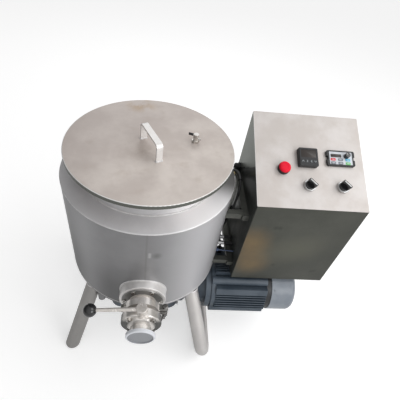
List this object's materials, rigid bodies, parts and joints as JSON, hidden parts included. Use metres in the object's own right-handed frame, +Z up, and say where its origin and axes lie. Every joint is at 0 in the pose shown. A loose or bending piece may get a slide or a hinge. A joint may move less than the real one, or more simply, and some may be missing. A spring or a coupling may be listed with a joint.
{
  "type": "chocolate conche machine",
  "caption": "Jacketed stainless chocolate conche: lidded pot with a geared agitator, front butterfly outlet valve, tube legs, worm-gear motor and a side control box with sloped panel.",
  "frame": {"origin": "middle of the footprint's bounding box, on the floor", "axes": "+X from the vessel towards the control box, -Y towards the outlet valve, +Z up"},
  "size_m": [0.7669, 0.5996, 0.685],
  "materials": {
    "satin_steel": "satin",
    "shoulder_steel": "satin",
    "lid_steel": "satin",
    "polished_steel": "polished",
    "leg_steel": "polished",
    "machined_steel": "machined",
    "box_steel": "satin",
    "panel_steel": "satin",
    "bezel_metal": "polished",
    "brass": "machined",
    "gear_bronze": "machined",
    "gearbox_alloy": "painted casting",
    "motor_paint": "painted casting",
    "fan_cover_paint": "semi-gloss paint",
    "black_gloss": "gloss",
    "black_plastic": "matt",
    "red_lens": "gloss",
    "white_plastic": "satin",
    "seal_rubber": "matt",
    "grey_lead": "ribbed",
    "blue_wire": "matt"
  },
  "bodies": {
    "machine": {"outer_shell": "satin_steel", "shoulder_ring": "shoulder_steel", "jacket_base": "satin_steel", "inner_pot": "shoulder_steel", "shaft_sleeve": "polished_steel", "shaft_seal": "seal_rubber", "immersion_heater": "machined_steel", "temperature_probe": "brass", "drain_socket": "satin_steel", "outlet_pad": "polished_steel", "outlet_flange": "polished_steel", "socket_bolts": "polished_steel", "outlet_seals": "seal_rubber", "clamp_halves": "polished_steel", "clamp_bolt": "polished_steel", "valve_body_rear": "polished_steel", "valve_body_front": "polished_steel", "left_legs": "leg_steel", "right_leg_hoop": "leg_steel", "drive_plate": "machined_steel", "gearbox_housing": "gearbox_alloy", "gearbox_cover": "gearbox_alloy", "motor_flange": "motor_paint", "motor_body": "motor_paint", "fan_cover": "fan_cover_paint", "terminal_box": "motor_paint", "box_brackets": "satin_steel", "control_box": "box_steel", "control_panel": "panel_steel", "rear_cover": "box_steel", "inverter": "black_plastic", "temperature_controller": "black_plastic", "keypad": "black_plastic", "lamp_bezel": "black_plastic", "lamp_lens": "red_lens", "selector_bodies": "bezel_metal", "motor_conduit": "black_plastic", "probe_lead": "grey_lead", "heater_leads": "black_plastic", "earth_wire": "blue_wire", "cable_glands": "black_plastic"},
    "lid_body": {"lid": "lid_steel", "lid_handle": "polished_steel", "vent_cock_body": "polished_steel"},
    "vent_lever": {"vent_cock_lever": "polished_steel"},
    "valve_turn": {"valve_disc": "polished_steel", "valve_lever": "polished_steel", "lever_knob": "black_gloss"},
    "wing_nut": {"clamp_wing_nut": "polished_steel"},
    "cap": {"outlet_cap": "white_plastic"},
    "drive_line": {"worm_shaft": "machined_steel", "motor_rotor": "machined_steel", "motor_fan": "black_plastic"},
    "mixer": {"worm_wheel": "gear_bronze", "agitator_shaft": "machined_steel", "agitator_frame": "machined_steel", "scraper_blades": "white_plastic"},
    "left_selector": {"left_selector_knob": "black_gloss"},
    "right_selector": {"right_selector_knob": "black_gloss"},
    "speed_dial": {"speed_knob": "black_gloss"}
  },
  "joints": [
    {"name": "lid_lift", "type": "slide", "parent": "machine", "child": "lid_body", "axis": [0, 0, 1], "range_m": [0, 0.25]},
    {"name": "vent_turn", "type": "hinge", "parent": "lid_body", "child": "vent_lever", "pos_m": [-0.03924, 0.05863, 0.657], "axis": [0, 0, 1], "range_deg": [0, 90]},
    {"name": "valve_lever_turn", "type": "hinge", "parent": "machine", "child": "valve_turn", "pos_m": [-0.14684, -0.25587, 0.3335], "axis": [0, 0, 1], "range_deg": [0, 90]},
    {"name": "wing_nut_turn", "type": "hinge", "parent": "machine", "child": "wing_nut", "pos_m": [-0.08984, -0.22487, 0.313], "axis": [0, 0, 1], "continuous": true},
    {"name": "cap_pull", "type": "slide", "parent": "machine", "child": "cap", "axis": [0, -1, 0], "range_m": [0, 0.054]},
    {"name": "motor_spin", "type": "hinge", "parent": "machine", "child": "drive_line", "pos_m": [-0.14684, -0.04687, 0.178], "axis": [1, 0, 0], "continuous": true},
    {"name": "agitator_spin", "type": "hinge", "parent": "machine", "child": "mixer", "pos_m": [-0.14684, 0.03513, 0.178], "axis": [0, 0, 1], "continuous": true},
    {"name": "left_selector_turn", "type": "hinge", "parent": "machine", "child": "left_selector", "pos_m": [0.23856, -0.02811, 0.59771], "axis": [0, -0.4321, 0.9018], "range_deg": [-90, 0]},
    {"name": "right_selector_turn", "type": "hinge", "parent": "machine", "child": "right_selector", "pos_m": [0.32226, -0.02784, 0.59784], "axis": [0, -0.4321, 0.9018], "range_deg": [-90, 0]},
    {"name": "speed_turn", "type": "hinge", "parent": "machine", "child": "speed_dial", "pos_m": [0.33636, 0.04485, 0.63267], "axis": [0, -0.4321, 0.9018], "range_deg": [-135, 135]}
  ],
  "couplings": [
    {"joint": "agitator_spin", "follows": "motor_spin", "ratio": -0.033333}
  ]
}
